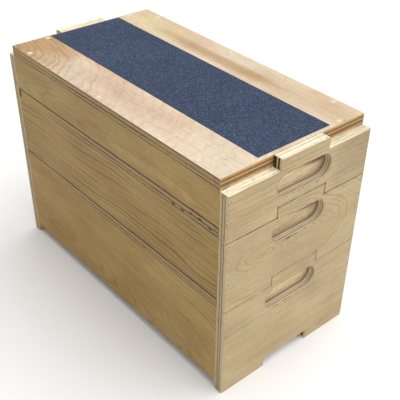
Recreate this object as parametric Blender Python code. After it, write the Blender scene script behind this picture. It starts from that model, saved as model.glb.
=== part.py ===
"""Stacking mounting block: three open-bottomed plywood risers, one on top of the other.

Each riser is a four-sided carcass under a tread. An outer end panel on each end has
a hand slot, a tab that comes up level with the tread and, below, a lip with a notch
that drops over the tab of the riser underneath. A strip of grit tape lies on the top.

+X runs along the block, +Y from front to back and +Z up. The origin is on the floor
under the middle of the block.
"""

import math

import bmesh
import bpy

# Sizes that can be set by themselves, in metres
PLY = 0.019  # every board and panel
LENGTH = 0.660  # over the outer end panels
WIDTH = 0.330
BOTTOM_HEIGHT = 0.220  # from the floor to the top of the bottom riser
MIDDLE_HEIGHT = 0.147  # that the middle riser adds

TAB_WIDTH = 0.112
TAB_CORNER = 0.0025  # radius of the tab's corners and of the lip's at the notch
SHOULDER_STEP = 0.0025  # shoulders of an end panel, below the underside of its tread
EDGE_ROUND = 0.003  # radius of the block's upright corners

SLOT_LENGTH = 0.128
SLOT_HEIGHT = 0.046
WALL_OVER_SLOT = 0.0285
TOP_WALL_UNDER_SLOT = 0.0147  # the top riser is only as high as its slot needs

GRIT_WIDTH = 0.165
GRIT_THICKNESS = 0.0009
GRIT_LEFT_MARGIN = 0.0044  # to the tread's end
GRIT_RIGHT_MARGIN = 0.0084
GRIT_Y = 0.003  # middle of the strip

SCREW_LENGTH = 0.041
SCREW_HEAD_RADIUS = 0.0040
SCREW_SHANK_RADIUS = 0.0020
SCREW_HEAD_RIM = 0.0005
SCREW_TIP_LENGTH = 0.006
SCREW_TIP_RADIUS = 0.0005
SCREW_SINK = 0.002  # top of the head, below the top of the tread
SIDE_SCREW_LEFT_INSET = 0.052  # outer screws of the front and back rows, from the tread's ends
SIDE_SCREW_RIGHT_INSET = 0.062
SIDE_SCREW_MIDDLE_X = -0.021
END_SCREW_FRONT_INSET = 0.075  # end screws, from the tread's long edges
END_SCREW_BACK_INSET = 0.056
SCREW_SIDES = 12

# Clearances
TOUCH_GAP = 0.0003  # between pieces that touch
TREAD_END_GAP = 0.0006  # between a tread and the end panels beside it
MIDDLE_LEFT_GAP = 0.0026  # the middle tread is cut a little short on the left
SEAM_GAP = 0.0008  # between an end panel and the one below
NOTCH_SIDE_GAP = 0.001  # on each side of a tab in its notch

# Where each hand-cut tab, bottom notch and slot sits, off the middle of its panel in Y
TAB_SHIFT = {"bottom": 0.002, "middle": 0.002, "top": 0.002}
FLOOR_NOTCH_SHIFT = -0.001
SLOT_SHIFT = {"bottom": -0.0025, "middle": 0.0005, "top": 0.004}

# Worked out from the sizes above
SHOULDER_DROP = PLY + SHOULDER_STEP  # shoulders, below the top of their riser
NOTCH_DEPTH = SHOULDER_DROP
NOTCH_WIDTH = TAB_WIDTH + 2 * NOTCH_SIDE_GAP
LIP = SHOULDER_DROP - SEAM_GAP  # an end panel's lower edge, below the tread it sits on
SLOT_DROP = WALL_OVER_SLOT + SLOT_HEIGHT / 2  # middle of a slot, below the top of its riser
TOP_HEIGHT = WALL_OVER_SLOT + SLOT_HEIGHT + TOP_WALL_UNDER_SLOT + NOTCH_DEPTH - LIP
RISER_HEIGHTS = {"bottom": BOTTOM_HEIGHT, "middle": MIDDLE_HEIGHT, "top": TOP_HEIGHT}
INNER_X = LENGTH / 2 - PLY  # inner face of an outer end panel
TREAD_END_X = INNER_X - TREAD_END_GAP
HALF_WIDTH = WIDTH / 2

ARC_STEPS = 4  # straight pieces in a quarter circle of a small corner
SLOT_ARC_STEPS = 14  # in the half circle at each end of a slot
CUT_CLEAR = 0.01  # how far a cutter runs past what it cuts

# Linear colour, roughness and metallic value
FINISHES = {
    "face_plywood": ((0.53, 0.41, 0.25), 0.6, 0.0),
    "grit_tape": ((0.075, 0.10, 0.155), 0.95, 0.0),
    "screw_steel": ((0.45, 0.43, 0.38), 0.4, 1.0),
}


def clear_scene():
    for obj in list(bpy.data.objects):
        bpy.data.objects.remove(obj, do_unlink=True)


def make_materials():
    for name, (colour, roughness, metallic) in FINISHES.items():
        material = bpy.data.materials.new(name)
        material.use_nodes = True
        shader = material.node_tree.nodes["Principled BSDF"]
        shader.inputs["Base Color"].default_value = (*colour, 1.0)
        shader.inputs["Roughness"].default_value = roughness
        shader.inputs["Metallic"].default_value = metallic


def add_object(name, bm, parent, location, finish=None):
    """Turn a finished bmesh into an object at a place in its parent's frame."""
    bmesh.ops.recalc_face_normals(bm, faces=bm.faces)
    mesh = bpy.data.meshes.new(name)
    bm.to_mesh(mesh)
    bm.free()
    obj = bpy.data.objects.new(name, mesh)
    bpy.context.scene.collection.objects.link(obj)
    obj.parent = parent
    obj.location = location
    if finish:
        mesh.materials.append(bpy.data.materials[finish])
    return obj


def add_empty(name, height):
    empty = bpy.data.objects.new(name, None)
    empty.location = (0.0, 0.0, height)
    bpy.context.scene.collection.objects.link(empty)
    return empty


def box_bmesh(size_x, size_y, size_z):
    """A box centred in X and Y that stands on its own origin."""
    bm = bmesh.new()
    bmesh.ops.create_cube(bm, size=1.0)
    for vert in bm.verts:
        vert.co.x *= size_x
        vert.co.y *= size_y
        vert.co.z = (vert.co.z + 0.5) * size_z
    return bm


def plate_bmesh(outline, thickness):
    """A closed (y, z) outline made into a plate that runs from x = 0 to the thickness."""
    bm = bmesh.new()
    verts = [bm.verts.new((0.0, y, z)) for y, z in outline]
    face = bm.faces.new(verts)
    grown = bmesh.ops.extrude_face_region(bm, geom=[face])
    moved = [item for item in grown["geom"] if isinstance(item, bmesh.types.BMVert)]
    bmesh.ops.translate(bm, vec=(thickness, 0.0, 0.0), verts=moved)
    return bm


def arc(centre_y, centre_z, radius, start, end, steps):
    """Points on an arc, angles in degrees from +Y towards +Z, both ends included."""
    points = []
    for step in range(steps + 1):
        angle = math.radians(start + (end - start) * step / steps)
        points.append((centre_y + radius * math.cos(angle), centre_z + radius * math.sin(angle)))
    return points


def end_panel_outline(height, tab_y, notch_y):
    """The panel from z = 0 at its lip: tab on top, notch below, square inner corners."""
    shoulder = height - SHOULDER_DROP
    r = TAB_CORNER
    left_tab, right_tab = tab_y - TAB_WIDTH / 2, tab_y + TAB_WIDTH / 2
    left_notch, right_notch = notch_y - NOTCH_WIDTH / 2, notch_y + NOTCH_WIDTH / 2
    points = [(-HALF_WIDTH, 0.0)]
    points += arc(left_notch - r, r, r, -90, 0, ARC_STEPS)
    points += [(left_notch, NOTCH_DEPTH), (right_notch, NOTCH_DEPTH)]
    points += arc(right_notch + r, r, r, 180, 270, ARC_STEPS)
    points += [(HALF_WIDTH, 0.0), (HALF_WIDTH, shoulder), (right_tab, shoulder)]
    points += arc(right_tab - r, height - r, r, 0, 90, ARC_STEPS)
    points += arc(left_tab + r, height - r, r, 90, 180, ARC_STEPS)
    points += [(left_tab, shoulder), (-HALF_WIDTH, shoulder)]
    return points


def slot_outline(slot_y, slot_z):
    r = SLOT_HEIGHT / 2
    reach = SLOT_LENGTH / 2 - r
    right = arc(slot_y + reach, slot_z, r, -90, 90, SLOT_ARC_STEPS)
    left = arc(slot_y - reach, slot_z, r, 90, 270, SLOT_ARC_STEPS)
    return right + left


def cut(obj, cutter):
    modifier = obj.modifiers.new("cut_" + cutter.name, "BOOLEAN")
    modifier.operation = "DIFFERENCE"
    modifier.solver = "EXACT"
    modifier.object = cutter


def hide_cutter(obj):
    obj.hide_render = True
    obj.display_type = "WIRE"


def round_upright_edges(bm, outer_x):
    """Round the two upright edges of an end panel that are corners of the block."""
    edges = []
    for edge in bm.edges:
        a, b = (vert.co for vert in edge.verts)
        upright = abs(a.y - b.y) < 1e-6 and abs(a.x - b.x) < 1e-6
        outside = abs(a.x - outer_x) < 1e-6 and abs(abs(a.y) - HALF_WIDTH) < 1e-6
        if upright and outside:
            edges.append(edge)
    bmesh.ops.bevel(
        bm, geom=edges, offset=EDGE_ROUND, segments=ARC_STEPS, profile=0.5, affect="EDGES"
    )


def screw_profile(gap):
    """(radius, depth under the head's top), from the head down, grown by a gap."""
    neck = SCREW_HEAD_RADIUS - SCREW_SHANK_RADIUS + SCREW_HEAD_RIM
    return [
        (SCREW_HEAD_RADIUS + gap, 0.0),
        (SCREW_HEAD_RADIUS + gap, SCREW_HEAD_RIM + gap),
        (SCREW_SHANK_RADIUS + gap, neck + gap),
        (SCREW_SHANK_RADIUS + gap, SCREW_LENGTH - SCREW_TIP_LENGTH + gap),
        (SCREW_TIP_RADIUS + gap, SCREW_LENGTH + gap),
    ]


def turn(bm, profile, centre):
    """Add a closed solid turned about an upright axis through centre to a bmesh."""
    rings = []
    for radius, depth in profile:
        ring = []
        for side in range(SCREW_SIDES):
            angle = 2 * math.pi * side / SCREW_SIDES
            x = centre[0] + radius * math.cos(angle)
            y = centre[1] + radius * math.sin(angle)
            ring.append(bm.verts.new((x, y, centre[2] - depth)))
        rings.append(ring)
    for upper, lower in zip(rings, rings[1:]):
        for side in range(SCREW_SIDES):
            after = (side + 1) % SCREW_SIDES
            bm.faces.new((upper[side], lower[side], lower[after], upper[after]))
    bm.faces.new(rings[0])
    bm.faces.new(list(reversed(rings[-1])))


def screw_places(riser):
    """Name and (x, y) of each screw: down into the side panels and the inner ends."""
    side_y = HALF_WIDTH - PLY / 2
    end_x = INNER_X - TOUCH_GAP - PLY / 2
    side_row = (
        SIDE_SCREW_LEFT_INSET - TREAD_END_X,
        SIDE_SCREW_MIDDLE_X,
        TREAD_END_X - SIDE_SCREW_RIGHT_INSET,
    )
    end_row = (END_SCREW_FRONT_INSET - HALF_WIDTH, HALF_WIDTH - END_SCREW_BACK_INSET)
    places = []
    for number, x in enumerate(side_row, 1):
        places.append((f"{riser}_front_screw_{number}", x, -side_y))
        places.append((f"{riser}_back_screw_{number}", x, side_y))
    for number, y in enumerate(end_row, 1):
        places.append((f"{riser}_left_screw_{number}", -end_x, y))
        places.append((f"{riser}_right_screw_{number}", end_x, y))
    return places


def add_screws(riser, parent, height):
    """The riser's screws, and the cutter that makes the holes for them."""
    holes = bmesh.new()
    for name, x, y in screw_places(riser):
        bm = bmesh.new()
        turn(bm, screw_profile(0.0), (0.0, 0.0, 0.0))
        add_object(name, bm, parent, (x, y, height - SCREW_SINK), "screw_steel")
        hole = screw_profile(TOUCH_GAP)
        hole[0] = (hole[0][0], -SCREW_SINK - CUT_CLEAR)
        turn(holes, hole, (x, y, height - SCREW_SINK))
    cutter = add_object(f"{riser}_screw_holes", holes, parent, (0.0, 0.0, 0.0))
    hide_cutter(cutter)
    return cutter


def add_tread(riser, parent, height, screw_holes):
    """The tread of a riser, between its outer end panels."""
    left = -TREAD_END_X
    if riser == "middle":
        left += MIDDLE_LEFT_GAP - TREAD_END_GAP
    bm = box_bmesh(TREAD_END_X - left, WIDTH, PLY)
    place = ((left + TREAD_END_X) / 2, 0.0, height - PLY)
    tread = add_object(f"{riser}_tread", bm, parent, place, "face_plywood")
    cut(tread, screw_holes)


def add_walls(riser, parent, seat, height, screw_holes):
    """Front and back panels, and the inner ends that stand behind the hand slots."""
    wall_height = height - PLY - TOUCH_GAP - seat
    for side, sign in (("front", -1), ("back", 1)):
        bm = box_bmesh(2 * (INNER_X - TOUCH_GAP), PLY, wall_height)
        place = (0.0, sign * (HALF_WIDTH - PLY / 2), seat)
        panel = add_object(f"{riser}_{side}_panel", bm, parent, place, "face_plywood")
        cut(panel, screw_holes)

    for side, sign in (("left", -1), ("right", 1)):
        bm = box_bmesh(PLY, WIDTH - 2 * (PLY + TOUCH_GAP), wall_height)
        place = (sign * (INNER_X - TOUCH_GAP - PLY / 2), 0.0, seat)
        end = add_object(f"{riser}_{side}_inner_end", bm, parent, place, "face_plywood")
        cut(end, screw_holes)


def add_end_panels(riser, parent, foot, height, notch_y):
    """Outer end panels with tab, notch, rounded upright corners and hand slot."""
    panel_height = height - foot
    for side, sign in (("left", -1), ("right", 1)):
        inner_x = sign * INNER_X
        outline = end_panel_outline(panel_height, TAB_SHIFT[riser], notch_y)
        bm = plate_bmesh(outline, sign * PLY)
        round_upright_edges(bm, sign * PLY)
        panel = add_object(
            f"{riser}_{side}_end_panel", bm, parent, (inner_x, 0.0, foot), "face_plywood"
        )
        slot = slot_outline(SLOT_SHIFT[riser], panel_height - SLOT_DROP)
        slot_bm = plate_bmesh(slot, sign * (PLY + 2 * CUT_CLEAR))
        cutter = add_object(
            f"{riser}_{side}_slot_cutter", slot_bm, parent, (inner_x - sign * CUT_CLEAR, 0.0, foot)
        )
        hide_cutter(cutter)
        cut(panel, cutter)


def add_grit_strip(parent, height):
    left = GRIT_LEFT_MARGIN - TREAD_END_X
    right = TREAD_END_X - GRIT_RIGHT_MARGIN
    bm = box_bmesh(right - left, GRIT_WIDTH, GRIT_THICKNESS)
    place = ((left + right) / 2, GRIT_Y, height + TOUCH_GAP)
    add_object("grit_strip", bm, parent, place, "grit_tape")


def build_block():
    base = 0.0
    foot = 0.0  # the bottom riser stands on its end panels, the others on their walls
    notch_y = FLOOR_NOTCH_SHIFT
    riser_frame = None
    for riser, height in RISER_HEIGHTS.items():
        riser_frame = add_empty(f"{riser}_riser", base)
        screw_holes = add_screws(riser, riser_frame, height)
        add_tread(riser, riser_frame, height, screw_holes)
        add_walls(riser, riser_frame, foot + LIP + TOUCH_GAP, height, screw_holes)
        add_end_panels(riser, riser_frame, foot, height, notch_y)
        base += height
        foot = -LIP
        notch_y = TAB_SHIFT[riser]
    add_grit_strip(riser_frame, TOP_HEIGHT)


clear_scene()
make_materials()
build_block()
bpy.context.view_layer.update()
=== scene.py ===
"""Stacking mounting block in birch plywood, with a blue grit strip, on a pale studio floor."""

import math
import random

import bpy
from mathutils import Matrix, Vector


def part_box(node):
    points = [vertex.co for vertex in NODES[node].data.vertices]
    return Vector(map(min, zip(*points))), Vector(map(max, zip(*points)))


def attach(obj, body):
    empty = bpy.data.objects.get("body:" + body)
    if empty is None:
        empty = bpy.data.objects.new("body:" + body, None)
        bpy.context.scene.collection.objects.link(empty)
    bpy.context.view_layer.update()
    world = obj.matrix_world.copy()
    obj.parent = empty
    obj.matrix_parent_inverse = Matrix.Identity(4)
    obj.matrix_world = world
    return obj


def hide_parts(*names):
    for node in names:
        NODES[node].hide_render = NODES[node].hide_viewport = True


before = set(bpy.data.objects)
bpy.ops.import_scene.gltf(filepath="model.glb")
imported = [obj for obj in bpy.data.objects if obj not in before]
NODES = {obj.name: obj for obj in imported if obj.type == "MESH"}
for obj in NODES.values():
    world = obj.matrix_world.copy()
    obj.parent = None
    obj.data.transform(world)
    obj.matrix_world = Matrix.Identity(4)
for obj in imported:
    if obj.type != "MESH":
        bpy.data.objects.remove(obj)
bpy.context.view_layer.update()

RISERS = ("bottom", "middle", "top")
X_AXIS, Y_AXIS, Z_AXIS = 0, 1, 2


def riser_top(riser):
    """The height of the top of a riser."""
    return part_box(f"{riser}_tread")[1][Z_AXIS]


def add_object(name, data):
    """A new object in the scene for a mesh, light or camera."""
    obj = bpy.data.objects.new(name, data)
    bpy.context.scene.collection.objects.link(obj)
    return obj


# ---------------------------------------------------------------- shader building


class Graph:
    """Short calls that add shader nodes. A value is a number, a tuple or a socket."""

    def __init__(self, tree):
        self.tree = tree

    def feed(self, socket, value):
        """Links a socket to an input, or sets the input to a number, colour or vector."""
        if isinstance(value, bpy.types.NodeSocket):
            self.tree.links.new(value, socket)
        elif socket.type == "RGBA":
            socket.default_value = (*value, 1.0)
        else:
            socket.default_value = value

    def node(self, kind, values=None, **settings):
        """A new node. values go to its inputs, by name or by number."""
        made = self.tree.nodes.new(kind)
        for key, setting in settings.items():
            setattr(made, key, setting)
        for key, value in (values or {}).items():
            self.feed(made.inputs[key], value)
        return made

    def math(self, operation, a, b=0.0):
        return self.node("ShaderNodeMath", {0: a, 1: b}, operation=operation).outputs[0]

    def add(self, a, b):
        return self.math("ADD", a, b)

    def sub(self, a, b):
        return self.math("SUBTRACT", a, b)

    def mul(self, a, b):
        return self.math("MULTIPLY", a, b)

    def div(self, a, b):
        return self.math("DIVIDE", a, b)

    def max(self, a, b):
        return self.math("MAXIMUM", a, b)

    def abs(self, a):
        return self.math("ABSOLUTE", a)

    def less(self, a, b):
        """1 where a is less than b, else 0."""
        return self.math("LESS_THAN", a, b)

    def more(self, a, b):
        """1 where a is more than b, else 0."""
        return self.math("GREATER_THAN", a, b)

    def length(self, a, b):
        """The length of the sloping side over a and b."""
        return self.math("SQRT", self.add(self.mul(a, a), self.mul(b, b)))

    def oval(self, a, b, centre_a, centre_b, half_a, half_b):
        """How far (a, b) is from a centre, counted as 1 on the oval of the half sizes."""
        u = self.div(self.sub(a, centre_a), half_a)
        v = self.div(self.sub(b, centre_b), half_b)
        return self.length(u, v)

    def vector(self, x, y, z):
        return self.node("ShaderNodeCombineXYZ", {0: x, 1: y, 2: z}).outputs[0]

    def split(self, vector):
        return self.node("ShaderNodeSeparateXYZ", {0: vector}).outputs

    def noise(self, vector, detail=2.0, roughness=0.5, scale=1.0):
        values = {"Vector": vector, "Scale": scale, "Detail": detail, "Roughness": roughness}
        return self.node("ShaderNodeTexNoise", values).outputs[0]

    def swing(self, noise, size):
        """Turns a noise of 0 to 1 into a change up or down. The size is its full range."""
        return self.mul(self.sub(noise, 0.5), size)

    def smooth(self, value, low, high, out_low=0.0, out_high=1.0):
        """A soft step from low to high."""
        values = {0: value, 1: low, 2: high, 3: out_low, 4: out_high}
        made = self.node("ShaderNodeMapRange", values, interpolation_type="SMOOTHSTEP")
        return made.outputs[0]

    def fade(self, value, near, far, strength=1.0):
        """Full strength up to near, and softly down to nothing at far."""
        return self.smooth(value, near, far, strength, 0.0)

    def mix(self, factor, a, b, blend="MIX"):
        values = {0: factor, 6: a, 7: b}
        made = self.node("ShaderNodeMix", values, data_type="RGBA", blend_type=blend)
        return made.outputs[2]

    def ramp(self, value, stops, interpolation="LINEAR"):
        """A value as a colour. stops are (place, colour), or (place, grey)."""
        made = self.node("ShaderNodeValToRGB", {0: value})
        ramp = made.color_ramp
        ramp.interpolation = interpolation
        while len(ramp.elements) < len(stops):
            ramp.elements.new(0.5)
        for element, (place, shade) in zip(ramp.elements, stops):
            element.position = place
            colour = shade if isinstance(shade, tuple) else (shade, shade, shade)
            element.color = (*colour, 1.0)
        return made.outputs[0]

    def scaled(self, colour, factor):
        """A colour made lighter or darker by a value."""
        made = self.node("ShaderNodeVectorMath", {0: colour, 3: factor}, operation="SCALE")
        return made.outputs[0]

    def bump(self, height, depth, invert=False):
        """A surface direction from a height of 0 to 1 that stands for a depth in metres."""
        values = {"Height": height, "Distance": depth, "Strength": 0.5}
        return self.node("ShaderNodeBump", values, invert=invert).outputs[0]


def new_group(name, numbers, colours):
    """An empty node group that gives a Color and a Height.

    numbers and colours name its inputs. Returns its graph, its inputs and its outputs.
    """
    tree = bpy.data.node_groups.new(name, "ShaderNodeTree")
    for labels, kind in ((numbers, "NodeSocketFloat"), (colours, "NodeSocketColor")):
        for label in labels:
            tree.interface.new_socket(label, in_out="INPUT", socket_type=kind)
    tree.interface.new_socket("Color", in_out="OUTPUT", socket_type="NodeSocketColor")
    tree.interface.new_socket("Height", in_out="OUTPUT", socket_type="NodeSocketFloat")
    start = tree.nodes.new("NodeGroupInput")
    end = tree.nodes.new("NodeGroupOutput")
    return Graph(tree), start.outputs, end.inputs


def principled(name, roughness=0.5, specular=0.5):
    """A new material, its graph and the inputs of its shader."""
    material = bpy.data.materials.new(name)
    material.use_nodes = True
    inputs = material.node_tree.nodes["Principled BSDF"].inputs
    inputs["Roughness"].default_value = roughness
    inputs["Specular IOR Level"].default_value = specular
    return material, Graph(material.node_tree), inputs


# ---------------------------------------------------------------- veneer and plies

LINE_PROFILE = [  # how dark a growth line is, from one line to the next
    (0.0, 1.0), (0.035, 0.72), (0.10, 0.22), (0.45, 0.0), (0.82, 0.16), (0.95, 0.5), (1.0, 1.0),
]
FIRST_PLY = (0.10, 0.14)  # where a board's first ply ends, as a part of its thickness
PLY_JOINT = 0.012  # half the width of the soft joint between plies, as a part of the thickness


def veneer_group():
    """Birch veneer: growth lines, streaks, fibres, pores and soft clouds of colour.

    The growth lines are the contours of a field over the face, which is made of soft waves,
    a hill and a steady rise across the grain.
    """
    g, put, end = new_group(
        "veneer",
        ("Along", "Across", "Seed", "Hill", "Count", "Rate", "Reach", "Spread", "Line", "Broad",
         "Warp", "Streak", "Mottle"),
        ("Light", "Blush", "Dark"),
    )
    along, across, seed = put["Along"], put["Across"], put["Seed"]

    def grain(along_scale, across_scale, detail=1.0, roughness=0.5, shift=0.0):
        """Noise with this many waves in a metre along the grain and across it."""
        place = g.vector(
            g.mul(along, along_scale), g.mul(across, across_scale), g.add(seed, shift)
        )
        return g.noise(place, detail, roughness)

    waves = g.vector(g.div(along, put["Reach"]), g.div(across, put["Spread"]), seed)
    field = g.mul(g.add(g.noise(waves, 1.5, 0.45), put["Hill"]), put["Count"])
    field = g.add(field, g.mul(across, put["Rate"]))
    field = g.add(field, g.mul(grain(22, 60, 2.0, 0.55), put["Warp"]))
    uneven = g.noise(g.vector(g.mul(field, 0.6), seed, 0.0), 1.0)
    field = g.add(field, g.mul(uneven, 1.2))

    line = g.ramp(g.math("FRACT", field), LINE_PROFILE, "EASE")
    band = g.smooth(g.math("COSINE", g.mul(field, math.tau)), -0.2, 1.0)
    line = g.max(line, g.mul(band, put["Broad"]))
    weight = g.noise(g.vector(g.mul(g.math("ROUND", field), 3.7), seed, 5.0), 0.0)
    line = g.mul(line, g.smooth(weight, 0.34, 0.62, 0.4, 1.0))
    line = g.mul(line, g.smooth(grain(9, 20, shift=4.0), 0.32, 0.62, 0.5, 1.0))

    cloud = grain(7, 15, 2.0, shift=9.0)
    colour = g.mix(g.smooth(cloud, 0.36, 0.66), put["Light"], put["Blush"])
    colour = g.mix(g.mul(line, put["Line"]), colour, put["Dark"])
    fibre = grain(28, 900, 2.0, 0.6)
    streak = grain(5, 230, 2.0, 0.62, shift=3.0)
    mottle = grain(10, 30, 2.0, shift=15.0)
    ripple = grain(60, 12, shift=2.0)
    fleck = grain(95, 420, shift=21.0)
    pore = g.smooth(grain(190, 1700), 0.63, 0.73)
    shade = g.add(g.swing(fibre, 0.34), g.swing(streak, put["Streak"]))
    shade = g.add(shade, g.swing(mottle, put["Mottle"]))
    shade = g.add(shade, g.swing(ripple, 0.10))
    shade = g.add(shade, g.swing(fleck, g.mul(put["Streak"], 0.9)))
    shade = g.sub(g.add(shade, 1.0), g.mul(pore, 0.2))
    g.feed(end["Color"], g.scaled(colour, shade))
    hollow = g.add(g.mul(pore, 0.6), g.mul(line, 0.25))
    g.feed(end["Height"], g.sub(g.mul(fibre, 0.35), hollow))
    return g.tree


def ply_stops(layers):
    """Ramp stops with a soft joint between plies. layers are (where it ends, colour)."""
    stops = []
    start = 0.0
    for end, colour in layers:
        stops += [(start + PLY_JOINT, colour), (end - PLY_JOINT, colour)]
        start = end
    return stops


def ply_edge_group(name, along_layers, across_layers):
    """The sawn edge of a board, with its plies by depth from one face to the other.

    Cross is 1 where the edge cuts across the face grain. Elsewhere the plies turn to Plain
    as Fade drops below 1.
    """
    g, put, end = new_group(name, ("Depth", "Along", "Seed", "Cross", "Fade"), ("Plain",))
    along, depth, seed, cross = put["Along"], put["Depth"], put["Seed"], put["Cross"]

    def streaks(along_scale, depth_scale, detail=2.0, roughness=0.5, shift=0.0):
        """Noise with this many waves in a metre of edge and through the board."""
        place = g.vector(g.mul(along, along_scale), g.mul(depth, depth_scale), g.add(seed, shift))
        return g.noise(place, detail, roughness)

    wavy_depth = g.add(depth, g.swing(streaks(16, 1.0), 0.07))
    long_grain = g.ramp(wavy_depth, ply_stops(along_layers))
    clear = g.mul(put["Fade"], g.smooth(streaks(11, 3.0, shift=8.0), 0.36, 0.64, 0.55, 1.0))
    clear = g.max(clear, g.fade(depth, *FIRST_PLY))
    long_grain = g.mix(g.sub(1.0, clear), long_grain, put["Plain"])
    end_grain = g.ramp(wavy_depth, ply_stops(across_layers))
    colour = g.mix(cross, long_grain, end_grain)

    streak = streaks(30, 26, 3.0, 0.65)
    speck = streaks(800, 14, 2.0, 0.6)
    grain = g.add(g.mul(streak, g.sub(1.0, cross)), g.mul(speck, cross))
    # Dashes are small gaps in the plies: a hollow in the bump, and painted shade in the colour.
    dash = g.smooth(streaks(75, 12, 1.0, shift=5.0), 0.62, 0.72)
    colour = g.scaled(colour, g.add(0.74, g.mul(grain, 0.52)))
    colour = g.scaled(colour, g.sub(1.0, g.mul(dash, g.mul(0.5, put["Fade"]))))
    g.feed(end["Color"], colour)
    g.feed(end["Height"], g.sub(g.mul(grain, 0.5), g.mul(dash, 0.8)))
    return g.tree


def make_groups():
    """The shader groups. Each ply list has where a ply ends, by depth, and its colour."""
    return {
        "veneer": veneer_group(),
        "panel_edge": ply_edge_group(
            "panel_edge",
            [(0.34, (0.94, 0.85, 0.64)), (0.41, (0.74, 0.61, 0.42)), (0.68, (0.97, 0.90, 0.72)),
             (0.75, (0.78, 0.66, 0.46)), (1.0, (0.93, 0.84, 0.62))],
            [(0.27, (0.50, 0.38, 0.20)), (0.40, (0.22, 0.165, 0.09)), (0.58, (0.46, 0.37, 0.21)),
             (0.71, (0.24, 0.18, 0.11)), (1.0, (0.52, 0.42, 0.26))],
        ),
        # The tread edge's long-grain plies are darkened with painted shade, and its first and
        # last plies are painted shade along the joints above and below.
        "tread_edge": ply_edge_group(
            "tread_edge",
            [(0.11, (0.05, 0.034, 0.017)), (0.20, (0.18, 0.115, 0.055)),
             (0.48, (0.36, 0.255, 0.135)), (0.66, (0.13, 0.08, 0.034)),
             (0.90, (0.34, 0.24, 0.125)), (1.0, (0.045, 0.03, 0.015))],
            [(0.20, (0.60, 0.35, 0.13)), (0.42, (0.25, 0.16, 0.08)), (0.56, (0.66, 0.37, 0.13)),
             (0.82, (0.25, 0.15, 0.065)), (1.0, (0.48, 0.29, 0.12))],
        ),
    }


GROUPS = make_groups()

# ---------------------------------------------------------------- a board and its look

# What a look says. Places are in metres: first along the grain, then across it.
#   seed             which piece of every noise the board takes
#   count            how many growth lines the waves and the hill make
#   rate, back_rate  more lines for each metre across, and that rate in the back half
#   reach, spread    the size of the waves, along and across
#   hill             centre and half sizes of the oval that the lines run round
#   warp             how much the lines wander
#   line, line_far   how dark the lines are, and how dark at the far end
#   broad            how dark the broad band beside a line is
#   streak, mottle   strength of the streaks and of the soft patches
#   zones            ovals that tint the face: centre, half sizes, tint
#   zone_rim         where a zone starts to fade and where it is gone
#   marks            dark ovals in the face: centre, half sizes
#   light, blush, dark, plain   colours of the face, its clouds, its lines, and a faded edge
#   edge, flip       the edge's plies, and whether they count from the high side
#   edge_fade        where plies start to show, where they show fully, and how much before
#   top_ply          colour of the top ply at the edge
#    voids            gaps in the front edge, painted as shade: centre along and up, half sizes
#    shade_slope      painted shade along the whole board: where it starts, where it is full, tint
#   tone             brightness of the whole board
#    foot_shade       colour of a painted line of shade along its foot

DEFAULT_LOOK = {
    "rate": 0.0, "broad": 0.0, "warp": 0.7, "mottle": 0.35, "tone": 1.0, "edge": "panel_edge",
    "flip": False, "zones": (), "zone_rim": (0.7, 1.5), "marks": (), "voids": (),
}
# The dark of painted shade in seams, gaps and at the feet of panels, and of small dark marks in
# the faces.
SHADE_AND_MARK_DARK = (0.05, 0.032, 0.018)
FOOT_SHADE_FADE = (0.0005, 0.0018)  # height of the painted line of shade at a panel's foot
BACK_HALF = (-0.03, 0.03)  # where a tread's back_rate sets in, from front to back
OTHER_FACE_SEED = 7.3  # what a board's second face adds to its seed
BOARD_BUMP = 0.00025
FACE_ROUGHNESS, EDGE_ROUGHNESS = 0.5, 0.75
BOARD_SPECULAR = 0.3


class Board:
    """What the steps of one board's material share: its box, its look and its shader values.

    thick is the axis through the board, and grain is the axis that its face grain follows.
    facing is 1 on the two faces and 0 on the edges. depth is how far through the board a
    place is, as a part of the thickness, from the face that its plies are counted from.
    """

    def __init__(self, name, thick, grain, look):
        self.riser = name.split("_")[0]
        self.is_end_panel = name.endswith("_end_panel")
        self.low, self.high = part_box(name)
        self.thick, self.grain = thick, grain
        self.look = {**DEFAULT_LOOK, **look}
        self.material, self.g, self.inputs = principled(name, specular=BOARD_SPECULAR)
        g = self.g
        coords = g.node("ShaderNodeTexCoord").outputs
        self.place = g.split(coords["Object"])
        self.normal = g.split(coords["Normal"])
        self.along = self.place[grain]
        self.across = self.place[X_AXIS + Y_AXIS + Z_AXIS - thick - grain]
        self.facing = g.smooth(g.abs(self.normal[thick]), 0.55, 0.85)
        thickness = self.high[thick] - self.low[thick]
        self.from_low = g.div(g.sub(self.place[thick], self.low[thick]), thickness)
        self.depth = self.from_low
        if self.look["flip"]:
            self.depth = g.sub(1.0, self.from_low)


# ---------------------------------------------------------------- wear and painted shade of the end panels

TAB_Y, TAB_HALF, TAB_RISE = 0.002, 0.0565, 0.0215  # middle, half width and height of its seam
NOTCH_TOP = TAB_RISE + 0.001  # just over the notch between the bottom riser's feet
SEAM_DROP = 0.0211  # from the top of a riser to the seam beside its tab
SEAM_FADE, SEAM_CORNER_FADE = (0.0006, 0.0017), (0.0012, 0.0028)
SEAM_RIM = (0.0018, 0.0032)  # how far in from a face the painted shade and dirt of a seam go on a board's edges
SEAM_STRENGTH = {"bottom": 0.55, "middle": 1.0}  # of the seam on top of that riser
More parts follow.
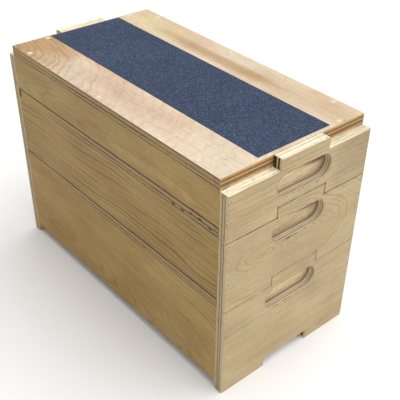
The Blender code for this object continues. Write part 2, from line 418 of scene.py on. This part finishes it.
# For the end panels of each riser, the risers whose top seam runs along them.
SEAMS = {"bottom": ("bottom",), "middle": ("bottom", "middle"), "top": ("middle",)}
SLOT_Y = {"bottom": -0.0025, "middle": 0.0005, "top": 0.004}
SLOT_DROP = 0.0515  # from the top of a riser to the middle of its hand slot
SLOT_RADIUS, SLOT_STRAIGHT = 0.023, 0.041  # of its round ends, and half its straight part
SLOT_HALF_LENGTH, SLOT_HALF_HEIGHT = 0.0655, 0.0245  # of a box just round it
SLOT_RIM, SLOT_RIM_FADE = (0.17, 0.115, 0.06), (0.0004, 0.0016)
SLOT_NEAR_END = (-0.055, -0.01)  # from the middle of a slot, where its rim is darkest
SPLINTER, SPLINTER_LENGTH, SPLINTER_ABOVE = (0.13, 0.08, 0.04), 0.0045, 0.0015
SPLINTER_SPAN = (0.035, SLOT_HALF_LENGTH)  # where they thin out and end, either way along
SLOT_PLIES = [
    (0.0, (0.62, 0.53, 0.42)), (0.14, (0.34, 0.25, 0.17)), (0.26, (0.34, 0.25, 0.17)),
    (0.30, (0.72, 0.63, 0.49)), (0.44, (0.70, 0.60, 0.46)), (0.50, (0.40, 0.29, 0.20)),
    (0.57, (0.62, 0.50, 0.35)), (0.68, (0.68, 0.57, 0.42)), (0.72, (0.30, 0.22, 0.14)),
    (0.80, (0.33, 0.24, 0.16)), (0.84, (0.66, 0.55, 0.38)), (1.0, (0.62, 0.50, 0.33)),
]
# Plies for the tab's near end and the notch's far wall, darkened with painted shade; on the tab
# they also stand for burnt end grain.
TAB_END_SHADED_PLIES = [
    (0.0, (0.05, 0.032, 0.015)), (0.36, (0.07, 0.042, 0.02)), (0.39, (0.66, 0.45, 0.21)),
    (0.51, (0.66, 0.45, 0.21)), (0.54, (0.07, 0.042, 0.02)), (0.72, (0.07, 0.042, 0.02)),
    (0.75, (0.60, 0.48, 0.28)), (1.0, (0.60, 0.48, 0.28)),
]


def seam_shade_and_dirt(board, riser):
    """Painted shade and dirt in the seam on top of a riser: along its shoulders and round its
    tab.
    """
    g, y, z = board.g, board.place[Y_AXIS], board.place[Z_AXIS]
    foot = riser_top(riser) - SEAM_DROP
    off_centre = g.abs(g.sub(y, TAB_Y))
    off_side = g.abs(g.sub(off_centre, TAB_HALF))
    on_tab = g.less(off_centre, TAB_HALF)
    off_level = g.abs(g.sub(g.sub(z, foot), g.mul(on_tab, TAB_RISE)))
    off_middle = g.abs(g.sub(z, foot + TAB_RISE / 2))
    past_end = g.more(off_middle, TAB_RISE / 2)
    distance = g.math("MINIMUM", off_level, g.add(off_side, past_end))
    off_corner = g.length(off_side, g.abs(g.sub(off_middle, TAB_RISE / 2)))
    patchy = g.noise(g.vector(g.mul(y, 45), g.mul(z, 45), 0.0), 1.0)
    line = g.mul(g.fade(distance, *SEAM_FADE), g.smooth(patchy, 0.3, 0.6, 0.4, 0.8))
    dot = g.fade(off_corner, *SEAM_CORNER_FADE, 0.9)
    return g.mul(g.max(line, dot), SEAM_STRENGTH[riser])


def off_slot(board):
    """How far a place is from the middle of the board's hand slot, along it and up."""
    middle = riser_top(board.riser) - SLOT_DROP
    off_y = board.g.sub(board.place[Y_AXIS], SLOT_Y[board.riser])
    return off_y, board.g.sub(board.place[Z_AXIS], middle)


def slot_wall(board):
    """1 on the walls of the hand slot."""
    g = board.g
    off_y, off_z = off_slot(board)
    in_length = g.less(g.abs(off_y), SLOT_HALF_LENGTH)
    return g.mul(in_length, g.less(g.abs(off_z), SLOT_HALF_HEIGHT))


def slot_plies(board):
    """The plies in the walls of the hand slot, which wander and change tone round it."""
    g, place = board.g, board.place

    def slow(scale):
        """Noise that changes slowly round the wall and quickly through the board."""
        x, y, z = g.mul(place[0], 12 * scale), g.mul(place[1], scale), g.mul(place[2], scale)
        return g.noise(g.vector(x, y, z), 2.0, 0.6)

    plies = g.ramp(g.add(board.depth, g.swing(slow(30.0), 0.10)), SLOT_PLIES)
    return g.scaled(plies, g.add(0.78, g.mul(slow(9.0), 0.44)))


def slot_rim(board):
    """How dark the outline painted round the hand slot is, darkest round its near end."""
    g = board.g
    off_y, off_z = off_slot(board)
    past_straight = g.max(g.sub(g.abs(off_y), SLOT_STRAIGHT), 0.0)
    distance = g.abs(g.sub(g.length(past_straight, off_z), SLOT_RADIUS))
    strength = g.smooth(off_y, *SLOT_NEAR_END, 0.55, 0.25)
    return g.mul(g.fade(distance, *SLOT_RIM_FADE), strength)


def torn_lip(board):
    """1 on the splinters that the saw tore out of the face below the hand slot."""
    g, y, z = board.g, board.place[Y_AXIS], board.place[Z_AXIS]
    slot_y = SLOT_Y[board.riser]
    lip = riser_top(board.riser) - SLOT_DROP - SLOT_HALF_HEIGHT
    below = g.fade(g.sub(lip, z), 0.0, SPLINTER_LENGTH)
    not_above = g.less(z, lip + SPLINTER_ABOVE)
    within = g.fade(g.abs(g.sub(y, slot_y)), *SPLINTER_SPAN)
    chips = g.noise(g.vector(g.mul(y, 75), g.mul(z, 260), slot_y), 3.0, 0.65)
    torn = g.smooth(g.add(chips, g.mul(below, 0.10)), 0.64, 0.70)
    return g.mul(g.mul(torn, g.mul(not_above, below)), within)


def shaded_cut_ends(board):
    """1 where shade is painted: the near half of the tab, and the far wall of the bottom riser's
    notch.
    """
    g, y, z = board.g, board.place[Y_AXIS], board.place[Z_AXIS]
    cuts = g.mul(g.less(y, TAB_Y), g.more(z, board.high[Z_AXIS] - TAB_RISE))
    if board.riser == "bottom":
        notch = g.mul(g.less(z, NOTCH_TOP), g.more(y, 0.0))
        cuts = g.max(cuts, g.mul(notch, g.less(y, 2 * TAB_HALF)))
    return cuts


def age_end_panel(board, colour):
    """An end panel's wear and painted shade: a shaded tab end, a dark slot outline, splinters,
    and shaded, dirty seams.
    """
    g, facing = board.g, board.facing
    end_cut = g.smooth(g.abs(board.normal[Y_AXIS]), 0.5, 0.8)
    # Painted shade on the tab's near end and the notch's far wall.
    dark = g.mul(shaded_cut_ends(board), end_cut)
    colour = g.mix(dark, colour, g.ramp(board.depth, TAB_END_SHADED_PLIES))
    colour = g.mix(g.mul(slot_rim(board), facing), colour, SLOT_RIM)
    colour = g.mix(g.mul(torn_lip(board), facing), colour, SPLINTER)
    thickness = board.high[X_AXIS] - board.low[X_AXIS]
    nearest_face = g.math("MINIMUM", board.depth, g.sub(1.0, board.depth))
    shown = g.max(facing, g.fade(g.mul(nearest_face, thickness), *SEAM_RIM))
    # Painted shade and dirt along the seams between risers.
    for riser in SEAMS[board.riser]:
        colour = g.mix(g.mul(seam_shade_and_dirt(board, riser), shown), colour, SHADE_AND_MARK_DARK)
    return colour


# ---------------------------------------------------------------- one board's material


def face_of(board):
    """Colour and height of a board's two faces: veneer, then its tinted zones and marks."""
    g, look, along, across = board.g, board.look, board.along, board.across
    values = {
        "Along": along, "Across": across, "Hill": 0.0,
        "Seed": g.add(look["seed"], g.mul(g.math("ROUND", board.from_low), OTHER_FACE_SEED)),
    }
    for key in ("count", "rate", "reach", "spread", "line", "broad", "warp", "streak", "mottle",
                "light", "blush", "dark"):
        values[key.capitalize()] = look[key]
    if "hill" in look:
        values["Hill"] = g.oval(along, across, *look["hill"])
    if "back_rate" in look:
        values["Rate"] = g.smooth(across, *BACK_HALF, look["rate"], look["back_rate"])
    if "line_far" in look:
        ends = board.low[board.grain], board.high[board.grain]
        values["Line"] = g.smooth(along, *ends, look["line"], look["line_far"])
    veneer = g.node("ShaderNodeGroup", values, node_tree=GROUPS["veneer"]).outputs

    colour = veneer["Color"]
    for *oval, tint in look["zones"]:
        wobble = g.mul(g.noise(g.vector(g.mul(along, 9), g.mul(across, 24), 2.0), 2.0), 0.8)
        distance = g.add(g.oval(along, across, *oval), wobble)
        colour = g.mix(g.fade(distance, *look["zone_rim"]), colour, tint, "MULTIPLY")
    for oval in look["marks"]:
        ragged = g.mul(g.noise(g.mul(along, 400.0), 1.0), 0.5)
        distance = g.add(g.oval(along, across, *oval), ragged)
        colour = g.mix(g.fade(distance, 0.7, 1.5, 0.85), colour, SHADE_AND_MARK_DARK)
    return colour, veneer["Height"]


def edges_of(board):
    """Colour and height of a board's sawn edges, with its dark top ply and its voids painted as
    shade.
    """
    g, look, along = board.g, board.look, board.along
    cross = g.smooth(g.abs(board.normal[board.grain]), 0.35, 0.85)
    values = {
        "Depth": board.depth, "Along": g.mix(cross, along, board.across),
        "Seed": look["seed"] + 0.5, "Cross": cross, "Fade": 1.0,
        "Plain": look.get("plain", look["light"]),
    }
    if "edge_fade" in look:
        values["Fade"] = g.smooth(along, *look["edge_fade"], 1.0)
    edge = g.node("ShaderNodeGroup", values, node_tree=GROUPS[look["edge"]]).outputs

    colour = edge["Color"]
    if board.is_end_panel:
        colour = g.mix(slot_wall(board), colour, slot_plies(board))
    if "top_ply" in look:
        top_ply = g.mul(g.fade(board.depth, *FIRST_PLY), g.sub(1.0, cross))
        colour = g.mix(top_ply, colour, look["top_ply"])
    # Voids in the front edge's plies, painted dark as the shade inside them.
    for oval in look["voids"]:
        ragged = g.mul(g.noise(g.mul(along, 300.0), 2.0), 0.7)
        distance = g.add(g.oval(along, board.place[board.thick], *oval), ragged)
        in_front = g.less(board.across, 0.0)
        colour = g.mix(g.mul(g.fade(distance, 0.8, 1.3, 0.95), in_front), colour, SHADE_AND_MARK_DARK)
    return colour, edge["Height"]


def toned(board, colour):
    """A board's colour with the painted shade that sets in along it, its tone, and painted shade
    at its foot.
    """
    g, look = board.g, board.look
    # Painted shade that sets in along the board.
    if "shade_slope" in look:
        start, end, tint = look["shade_slope"]
        colour = g.mix(g.smooth(board.along, start, end), colour, tint, "MULTIPLY")
    colour = g.scaled(colour, look["tone"])
    # A painted line of shade along the panel's foot, where it meets the tread below.
    if "foot_shade" in look:
        foot_shade = g.fade(g.sub(board.place[Z_AXIS], board.low[Z_AXIS]), *FOOT_SHADE_FADE)
        patchy = g.noise(g.vector(g.mul(board.along, 30), look["seed"], 0.0), 2.0)
        colour = g.mix(g.mul(foot_shade, g.smooth(patchy, 0.3, 0.65, 0.1, 0.65)), colour, look["foot_shade"])
    return colour


def board_material(name, thick, grain, look):
    """Plywood for one board: veneer on its two faces and plies on its edges."""
    board = Board(name, thick, grain, look)
    g, facing = board.g, board.facing
    face, face_height = face_of(board)
    edge, edge_height = edges_of(board)
    colour = toned(board, g.mix(facing, edge, face))
    if board.is_end_panel:
        colour = age_end_panel(board, colour)
    g.feed(board.inputs["Base Color"], colour)
    height = g.mix(facing, edge_height, face_height)
    g.feed(board.inputs["Normal"], g.bump(height, BOARD_BUMP))
    roughness = g.smooth(facing, 0.0, 1.0, EDGE_ROUGHNESS, FACE_ROUGHNESS)
    g.feed(board.inputs["Roughness"], roughness)
    return board.material


# ---------------------------------------------------------------- eased edges

END_PANEL_EASING, BOARD_EASING = 0.0004, 0.0006
WELD_DISTANCE = 1e-5


def plain_normals_group():
    """A geometry group that joins the split corners of a loaded mesh and drops its normals."""
    tree = bpy.data.node_groups.new("plain_normals", "GeometryNodeTree")
    tree.interface.new_socket("Geometry", in_out="INPUT", socket_type="NodeSocketGeometry")
    tree.interface.new_socket("Geometry", in_out="OUTPUT", socket_type="NodeSocketGeometry")
    start = tree.nodes.new("NodeGroupInput")
    drop = tree.nodes.new("GeometryNodeRemoveAttribute")
    drop.inputs["Name"].default_value = "custom_normal"
    weld = tree.nodes.new("GeometryNodeMergeByDistance")
    weld.inputs["Distance"].default_value = WELD_DISTANCE
    end = tree.nodes.new("NodeGroupOutput")
    for before, after in ((start, drop), (drop, weld), (weld, end)):
        tree.links.new(before.outputs[0], after.inputs[0])
    return tree


PLAIN_NORMALS = plain_normals_group()


def ease_edges(obj, width):
    """Joins a CAD node's triangles back into flat faces and rounds its sharp edges."""
    joined = obj.modifiers.new("joined", "NODES")
    joined.node_group = PLAIN_NORMALS
    flat = obj.modifiers.new("flat", "DECIMATE")
    flat.decimate_type = "DISSOLVE"
    flat.angle_limit = math.radians(0.5)
    eased = obj.modifiers.new("eased", "BEVEL")
    eased.width = width
    eased.segments = 2
    eased.limit_method = "ANGLE"
    eased.angle_limit = math.radians(40)


# ---------------------------------------------------------------- looks of the boards

# The end and side colours are the top's birch darkened with painted shade, the side colours most.
# The treads' faded edges take the side colour.
TOP_LIGHT, TOP_BLUSH, TOP_DARK = (0.745, 0.625, 0.465), (0.70, 0.53, 0.375), (0.46, 0.24, 0.10)
END_LIGHT, END_BLUSH = (0.532, 0.414, 0.232), (0.495, 0.365, 0.205)
END_DARK = (0.36, 0.215, 0.075)
SIDE_LIGHT, SIDE_BLUSH = (0.405, 0.27, 0.0885), (0.352, 0.222, 0.0637)
SIDE_DARK = (0.21, 0.10, 0.008)
INNER_LIGHT, INNER_BLUSH = (0.82, 0.67, 0.42), (0.75, 0.58, 0.35)

TREAD_SHADED_EDGE_LOOK = {
    "light": TOP_LIGHT, "blush": TOP_BLUSH, "dark": TOP_DARK, "plain": SIDE_LIGHT,
    "streak": 0.3, "edge": "tread_edge", "flip": True,
}
SIDE_SHADED_LOOK = {"light": SIDE_LIGHT, "blush": SIDE_BLUSH, "dark": SIDE_DARK, "streak": 0.45}
END_SHADED_LOOK = {"light": END_LIGHT, "blush": END_BLUSH, "dark": END_DARK}
INNER_FINISH = {
    "light": INNER_LIGHT, "blush": INNER_BLUSH, "dark": END_DARK, "count": 5, "rate": 60.0,
    "reach": 0.3, "spread": 0.06, "line": 0.7, "streak": 0.7,
}
INNER_SEED = 60.0
FAR_SEED = 40.0  # what a board on the far side adds to the seed of its twin

TREAD_LOOKS = {
    "bottom": {
        "seed": 31.0, "count": 5, "reach": 0.5, "spread": 0.12, "line": 0.5,
        "edge_fade": (-0.33, 0.10, 0.35),
        "voids": [(-0.3095, 0.2105, 0.0018, 0.010), (-0.225, 0.2025, 0.012, 0.0012)],
    },
    "middle": {
        "seed": 12.0, "count": 6, "reach": 0.4, "spread": 0.12, "line": 0.5,
        "edge_fade": (-0.28, -0.02, 0.15),
        "voids": [
            (-0.3052, 0.3575, 0.0048, 0.017), (0.198, 0.3525, 0.007, 0.0032),
            (0.221, 0.3522, 0.009, 0.0026), (0.242, 0.358, 0.005, 0.0022),
            (0.266, 0.3585, 0.009, 0.0024), (0.290, 0.353, 0.006, 0.002),
        ],
    },
    "top": {
        "seed": 3.0, "count": 3, "reach": 0.12, "spread": 0.09, "line": 0.95, "line_far": 0.30,
        "back_rate": 90.0, "hill": (-0.33, -0.172, 0.063, 0.027), "warp": 1.5, "mottle": 0.25,
        "edge_fade": (-0.36, -0.10, 0.5), "top_ply": (0.26, 0.17, 0.085),
        "zones": [
            (-0.31, -0.13, 0.16, 0.10, (0.69, 0.55, 0.37)),
            (-0.06, -0.13, 0.20, 0.05, (0.90, 0.855, 0.85)),
            (-0.24, 0.13, 0.16, 0.07, (0.96, 0.95, 0.80)),
            (-0.02, 0.115, 0.24, 0.022, (0.75, 0.64, 0.50)),
            (0.20, 0.125, 0.20, 0.05, (0.86, 0.80, 0.72)),
        ],
        "marks": [(0.130, 0.156, 0.0018, 0.0018), (0.306, 0.118, 0.0016, 0.0016)],
    },
}
SIDE_LOOKS = {
    "bottom": {
        "seed": 5.0, "count": 5, "rate": 35.0, "reach": 0.22, "spread": 0.09,
        "hill": (-0.12, 0.07, 0.20, 0.05), "line": 0.7, "broad": 0.55, "mottle": 0.22,
        "shade_slope": (0.15, -0.25, (0.93, 0.86, 0.70)),
    },
    "middle": {
        "seed": 8.0, "count": 7, "rate": 95.0, "reach": 0.30, "spread": 0.09,
        "line": 1.0, "broad": 0.75, "mottle": 0.2,
        "shade_slope": (0.1, -0.25, (0.96, 0.93, 0.80)), "tone": 0.92, "foot_shade": SHADE_AND_MARK_DARK,
    },
    "top": {
        "seed": 14.0, "count": 2.2, "reach": 0.20, "spread": 0.07,
        "hill": (0.13, 0.3855, 0.16, 0.015), "line": 0.6, "broad": 0.55, "mottle": 0.22,
        "shade_slope": (0.2, 0.1, (0.92, 0.92, 0.91)), "foot_shade": SHADE_AND_MARK_DARK,
        "zones": [
            (0.13, 0.3855, 0.14, 0.0105, (1.16, 1.17, 1.24)),
            (-0.10, 0.412, 0.10, 0.009, (1.10, 1.10, 1.12)),
        ],
        "zone_rim": (1.15, 1.35),
    },
}
END_LOOKS = {
    "bottom": {
        "seed": 21.0, "count": 3, "rate": 170.0, "reach": 0.5, "spread": 0.10,
        "line": 0.8, "broad": 0.5, "streak": 0.3,
    },
    "middle": {
        "seed": 24.0, "count": 5, "reach": 0.14, "spread": 0.06, "warp": 1.2,
        "hill": (-0.085, 0.285, 0.075, 0.03), "line": 0.85, "broad": 0.5, "streak": 0.25,
        "marks": [(-0.0225, 0.2915, 0.0095, 0.0034)],
    },
    "top": {
        "seed": 27.0, "count": 4, "rate": 90.0, "reach": 0.35, "spread": 0.07,
        "line": 0.7, "broad": 0.4, "streak": 0.3, "shade_slope": (0.055, 0.10, (0.86, 0.86, 0.86)),
        "marks": [
            (-0.009, 0.380, 0.0017, 0.0012), (0.038, 0.3803, 0.003, 0.0010),
            (0.0505, 0.3835, 0.002, 0.0016),
        ],
    },
}


def slot_shade(riser):
    """Zones that shade an inner board where the top of the hand slot shows it."""
    y, top = SLOT_Y[riser], riser_top(riser)
    return [
        (y + 0.045, top - 0.047, 0.045, 0.009, (0.36, 0.33, 0.30)),
        (y, top - 0.0465, 0.10, 0.0045, (0.62, 0.59, 0.55)),
    ]


def dress_boards():
    """Gives every board its look. The hidden twin of a board takes other grain."""
    for number, riser in enumerate(RISERS):
        dress(f"{riser}_tread", Z_AXIS, X_AXIS, TREAD_SHADED_EDGE_LOOK | TREAD_LOOKS[riser])
        for side, shift in (("front", 0.0), ("back", FAR_SEED)):
            look = SIDE_SHADED_LOOK | SIDE_LOOKS[riser]
            look["seed"] += shift
            dress(f"{riser}_{side}_panel", Y_AXIS, X_AXIS, look)
        for side, shift in (("right", 0.0), ("left", FAR_SEED)):
            look = END_SHADED_LOOK | END_LOOKS[riser] | {"flip": side == "left"}
            look["seed"] += shift
            dress(f"{riser}_{side}_end_panel", X_AXIS, Y_AXIS, look)
            seed = INNER_SEED + number + shift
            inner = INNER_FINISH | {"seed": seed, "zones": slot_shade(riser)}
            dress(f"{riser}_{side}_inner_end", X_AXIS, Y_AXIS, inner)


def dress(name, thick, grain, look):
    """Gives one board its plywood and eases its edges."""
    node = NODES[name]
    node.material_slots[0].material = board_material(name, thick, grain, look)
    ease_edges(node, END_PANEL_EASING if name.endswith("_end_panel") else BOARD_EASING)


dress_boards()

# ---------------------------------------------------------------- grit strip

GRAIN_STEP = 0.0015  # between the points of the strip's relief
GRAIN_RELIEF = 0.00035  # from its highest points to its lowest
GRIT_BUMP = 0.0006
GRAIN_SCALE, PATCH_SCALE = 1100.0, 420.0  # grains and patches of grains in a metre
GRIT_COLOURS = [
    (0.0, (0.010, 0.016, 0.036)), (0.35, (0.032, 0.048, 0.092)), (0.7, (0.050, 0.074, 0.130)),
    (0.95, (0.095, 0.130, 0.205)), (1.0, (0.24, 0.28, 0.36)),
]
PATCH_TINTS = [(0.72, 1.30), (0.80, 1.20), (0.80, 1.22)]  # least and most, of red, green and blue


def grit_material():
    """Dark blue grains with a few pale ones, in patches that differ a little."""
    material, g, inputs = principled("grit_tape", specular=0.2)
    place = g.node("ShaderNodeTexCoord").outputs["Object"]
    grains = g.node("ShaderNodeTexVoronoi", {"Vector": place, "Scale": GRAIN_SCALE}).outputs
    grain = g.split(grains["Color"])
    patches = g.node("ShaderNodeTexVoronoi", {"Vector": place, "Scale": PATCH_SCALE}).outputs
    patch = g.split(patches["Color"])
    tint = g.vector(*(g.smooth(patch[i], 0.0, 1.0, *PATCH_TINTS[i]) for i in range(3)))
    base = g.mix(1.0, g.ramp(grain[0], GRIT_COLOURS), tint, "MULTIPLY")
    cloud = g.noise(place, 3.0, 0.6, 9.0)
    g.feed(inputs["Base Color"], g.scaled(base, g.add(0.78, g.mul(cloud, 0.44))))
    g.feed(inputs["Roughness"], g.smooth(grain[1], 0.0, 1.0, 0.55, 1.0))
    g.feed(inputs["Normal"], g.bump(grains["Distance"], GRIT_BUMP, invert=True))
    return material


def make_piece(name, verts, faces, material, body):
    """A new mesh with one material, riding on a body."""
    mesh = bpy.data.meshes.new(name)
    mesh.from_pydata(verts, [], faces)
    mesh.materials.append(material)
    mesh.shade_smooth()
    obj = add_object(name, mesh)
    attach(obj, body)
    return obj


def grit_relief(low, high, columns, rows):
    """The points of the strip's top, row by row: random heights inside a level rim."""
    draw = random.Random(7)
    verts = []
    for row in range(rows + 1):
        for column in range(columns + 1):
            x = low[0] + (high[0] - low[0]) * column / columns
            y = low[1] + (high[1] - low[1]) * row / rows
            sink = 1.0
            if 0 < row < rows and 0 < column < columns:
                sink = draw.random() ** 2
                x += (draw.random() - 0.5) * GRAIN_STEP / 2
                y += (draw.random() - 0.5) * GRAIN_STEP / 2
            verts.append((x, y, high[2] - GRAIN_RELIEF * sink))
    return verts


def add_grit():
    """The anti-slip strip: a closed box with a sandpaper-like relief on its top."""
    low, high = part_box("grit_strip")
    columns = round((high[0] - low[0]) / GRAIN_STEP)
    rows = round((high[1] - low[1]) / GRAIN_STEP)
    width = columns + 1
    verts = grit_relief(low, high, columns, rows)
    faces = [
        (i, i + 1, i + 1 + width, i + width)
        for row in range(rows) for i in range(row * width, row * width + columns)
    ]
    rim = list(range(width))
    rim += [row * width + columns for row in range(1, rows + 1)]
    rim += [rows * width + column for column in range(columns - 1, -1, -1)]
    rim += [row * width for row in range(rows - 1, 0, -1)]
    base = len(verts)
    verts += [(verts[i][0], verts[i][1], low[2]) for i in rim]
    count = len(rim)
    for k in range(count):
        after = (k + 1) % count
        faces.append((rim[k], base + k, base + after, rim[after]))
    faces.append(tuple(base + k for k in reversed(range(count))))
    strip = make_piece("grit_tape", verts, faces, grit_material(), "top_riser")
    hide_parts("grit_strip")


add_grit()

# ---------------------------------------------------------------- screws, filler and nails

PUTTY_DARK, PUTTY_LIGHT = (0.78, 0.65, 0.45), (0.90, 0.80, 0.61)
PUTTY_THIN, PUTTY_THICK = 0.00006, 0.00013  # heights between which putty turns pale
PUTTY_BUMP = 0.0002
FILLER_PROFILE = [  # (radius, height) from the tread's top
    (0.0010, 0.00016), (0.0021, 0.00013), (0.0032, 0.00007), (0.0050, 0.00004),
    (0.0054, 0.00001), (0.0053, -0.0003), (0.0034, -0.0012),
]
NAIL_PROFILE = [(0.0006, 0.00005), (0.0012, 0.00003), (0.0013, -0.0001), (0.0008, -0.0015)]
FILLER_SIDES, NAIL_SIDES = 20, 12
END_NAIL_Y, END_NAIL_SCATTER = 0.1585, 0.002
END_NAIL_ZS = {  # how high they are in each riser
    "bottom": (0.030, 0.085, 0.140, 0.186), "middle": (0.2589, 0.3055, 0.338),
    "top": (0.3844, 0.4238),
}
FRONT_NAIL_X, FRONT_NAIL_Z = 0.2996, 0.4203


def steel_material(name, dark, light):
    """Steel with fine marks between a dark and a light colour."""
    material, g, inputs = principled(name)
    place = g.node("ShaderNodeTexCoord").outputs["Object"]
    marks = g.noise(place, 3.0, 0.6, 900.0)
    g.feed(inputs["Base Color"], g.ramp(marks, [(0.3, dark), (0.7, light)]))
    inputs["Metallic"].default_value = 1.0
    g.feed(inputs["Roughness"], g.smooth(marks, 0.3, 0.7, 0.3, 0.5))
    return material


def filler_material(riser):
    """Putty: pale in the middle, where it stands highest, and sanded thin round that."""
    material, g, inputs = principled(f"{riser}_putty", roughness=0.8, specular=0.25)
    place = g.node("ShaderNodeTexCoord").outputs["Object"]
    cloud = g.noise(place, 3.0, 0.6, 300.0)
    thin = g.ramp(cloud, [(0.3, TOP_BLUSH), (0.7, TOP_LIGHT)])
    thick = g.ramp(cloud, [(0.3, PUTTY_DARK), (0.7, PUTTY_LIGHT)])
    height = g.sub(g.split(place)[Z_AXIS], riser_top(riser))
    g.feed(inputs["Base Color"], g.mix(g.smooth(height, PUTTY_THIN, PUTTY_THICK), thin, thick))
    g.feed(inputs["Normal"], g.bump(g.noise(place, 2.0, 0.6, 1800.0), PUTTY_BUMP))
    return material


def add_plug(verts, faces, matrix, profile, sides, wobble, draw):
    """Adds a small closed turned shape. profile has (radius, height), from its top down."""
    sway = [1.0 + wobble * (draw.random() - 0.5) for _ in range(sides)]
    start = len(verts)
    for radius, height in profile:
        for k in range(sides):
            angle = math.tau * k / sides
            reach = radius * sway[k]
            point = Vector((reach * math.cos(angle), reach * math.sin(angle), height))
            verts.append(matrix @ point)
    for ring in range(len(profile) - 1):
        for k in range(sides):
            a = start + ring * sides + k
            b = start + ring * sides + (k + 1) % sides
            faces.append((a, a + sides, b + sides, b))
    faces.append(tuple(start + k for k in range(sides)))
    last = start + (len(profile) - 1) * sides
    faces.append(tuple(last + k for k in reversed(range(sides))))


def dress_screws():
    """Gives the screws under the filler their steel."""
    steel = steel_material("screw_steel", (0.32, 0.31, 0.28), (0.5, 0.49, 0.45))
    for name, node in NODES.items():
        if "_screw_" in name:
            node.material_slots[0].material = steel


def add_filler():
    """Putty over the countersunk screws of each tread."""
    draw = random.Random(11)
    for riser in RISERS:
        material = filler_material(riser)
        verts, faces = [], []
        for name in NODES:
            if not name.startswith(f"{riser}_") or "_screw_" not in name:
                continue
            low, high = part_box(name)
            centre = ((low[0] + high[0]) / 2, (low[1] + high[1]) / 2, riser_top(riser))
            oval = Matrix.Diagonal((1.0 + 0.2 * draw.random(), 1.0, 1.0, 1.0))
            place = Matrix.Translation(centre) @ Matrix.Rotation(draw.random() * 3, 4, "Z") @ oval
            add_plug(verts, faces, place, FILLER_PROFILE, FILLER_SIDES, 0.12, draw)
        make_piece(f"{riser}_filler", verts, faces, material, f"{riser}_riser")


def nail_places(riser, draw):
    """Where each nail of a riser is: at a face, with its head turned out of it."""
    places = []
    half_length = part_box(f"{riser}_right_end_panel")[1][X_AXIS]
    for x_side in (-1, 1):
        turn = Matrix.Rotation(x_side * math.pi / 2, 4, "Y")
        for y_side in (-1, 1):
            for z in END_NAIL_ZS[riser]:
                y = y_side * END_NAIL_Y + (draw.random() - 0.5) * END_NAIL_SCATTER
                places.append(Matrix.Translation((x_side * half_length, y, z)) @ turn)
    if riser == "top":
        half_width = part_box("top_back_panel")[1][Y_AXIS]
        for x_side in (-1, 1):
            for y_side in (-1, 1):
                turn = Matrix.Rotation(-y_side * math.pi / 2, 4, "X")
                spot = (x_side * FRONT_NAIL_X, y_side * half_width, FRONT_NAIL_Z)
                places.append(Matrix.Translation(spot) @ turn)
    return places


def add_nails():
    """Brad nails through the end panels, and through the top riser's front and back."""
    material = steel_material("nail_steel", (0.05, 0.045, 0.04), (0.16, 0.14, 0.12))
    draw = random.Random(5)
    for riser in RISERS:
        verts, faces = [], []
        for place in nail_places(riser, draw):
            add_plug(verts, faces, place, NAIL_PROFILE, NAIL_SIDES, 0.1, draw)
        make_piece(f"{riser}_nails", verts, faces, material, f"{riser}_riser")


dress_screws()
add_filler()
add_nails()

# ---------------------------------------------------------------- studio

LENS, SENSOR = 65.89917, 36.0  # mm
SHIFT_X, SHIFT_Y = -0.05519, 0.06704  # of the frame's width, as the photo's framing needs
CAMERA_PLACE = Vector((0.9801, -0.77412, 1.04562))
CAMERA_AZIMUTH, CAMERA_ELEVATION, CAMERA_ROLL = -0.7438, 0.64124, 0.03354  # radians
FLOOR_HALF = 80.0  # so far out that low views show no end of it
FLOOR_DROP = 0.0005  # keeps the floor clear of the undersides of the feet
FLOOR_GREY = 0.92
SUN_DIRECTION, SUN_STRENGTH, SUN_SPREAD = (0.24, 0.27, 1.0), 2.55, 75.0  # spread in degrees
SKY_OVERHEAD, SKY_HORIZON = 0.44, 1.0
SKY_RISE = (0.03, 0.22)  # height in the sky between which one turns to the other


def add_camera():
    """A camera at the photograph's viewing angle."""
    camera = bpy.data.cameras.new("camera")
    obj = add_object("camera", camera)
    bpy.context.scene.camera = obj
    camera.sensor_width = SENSOR
    camera.lens = LENS
    camera.shift_x, camera.shift_y = SHIFT_X, SHIFT_Y
    level_part = math.cos(CAMERA_ELEVATION)
    back = Vector((
        level_part * math.cos(CAMERA_AZIMUTH),
        level_part * math.sin(CAMERA_AZIMUTH),
        math.sin(CAMERA_ELEVATION),
    ))
    level = Vector((0, 0, 1)).cross(back).normalized()
    upright = back.cross(level)
    c, s = math.cos(CAMERA_ROLL), math.sin(CAMERA_ROLL)
    right = c * level + s * upright
    up = -s * level + c * upright
    turn = Matrix((right, up, back)).transposed()
    obj.matrix_world = Matrix.Translation(CAMERA_PLACE) @ turn.to_4x4()


def add_floor():
    """A pale floor just below the feet."""
    mesh = bpy.data.meshes.new("floor")
    corners = [(-1, -1), (1, -1), (1, 1), (-1, 1)]
    verts = [(FLOOR_HALF * x, FLOOR_HALF * y, 0.0) for x, y in corners]
    mesh.from_pydata(verts, [], [(0, 1, 2, 3)])
    material, _, inputs = principled("floor", roughness=0.9, specular=0.1)
    inputs["Base Color"].default_value = (FLOOR_GREY, FLOOR_GREY, FLOOR_GREY, 1.0)
    mesh.materials.append(material)
    floor = add_object("floor", mesh)
    floor.location.z = -FLOOR_DROP


def add_world():
    """A plain white studio, dimmer overhead than at the horizon."""
    world = bpy.data.worlds.new("studio")
    bpy.context.scene.world = world
    world.use_nodes = True
    g = Graph(world.node_tree)
    upward = g.split(g.node("ShaderNodeTexCoord").outputs["Generated"])[Z_AXIS]
    background = world.node_tree.nodes["Background"].inputs
    background["Color"].default_value = (1.0, 1.0, 1.0, 1.0)
    g.feed(background["Strength"], g.smooth(upward, *SKY_RISE, SKY_HORIZON, SKY_OVERHEAD))


def add_sun():
    """A soft distant light."""
    light = bpy.data.lights.new("key", "SUN")
    light.energy = SUN_STRENGTH
    light.angle = math.radians(SUN_SPREAD)
    sun = add_object("key", light)
    sun.rotation_euler = (-Vector(SUN_DIRECTION)).to_track_quat("-Z", "Y").to_euler()


add_camera()
add_floor()
add_world()
add_sun()
bpy.context.scene.view_settings.view_transform = "Standard"
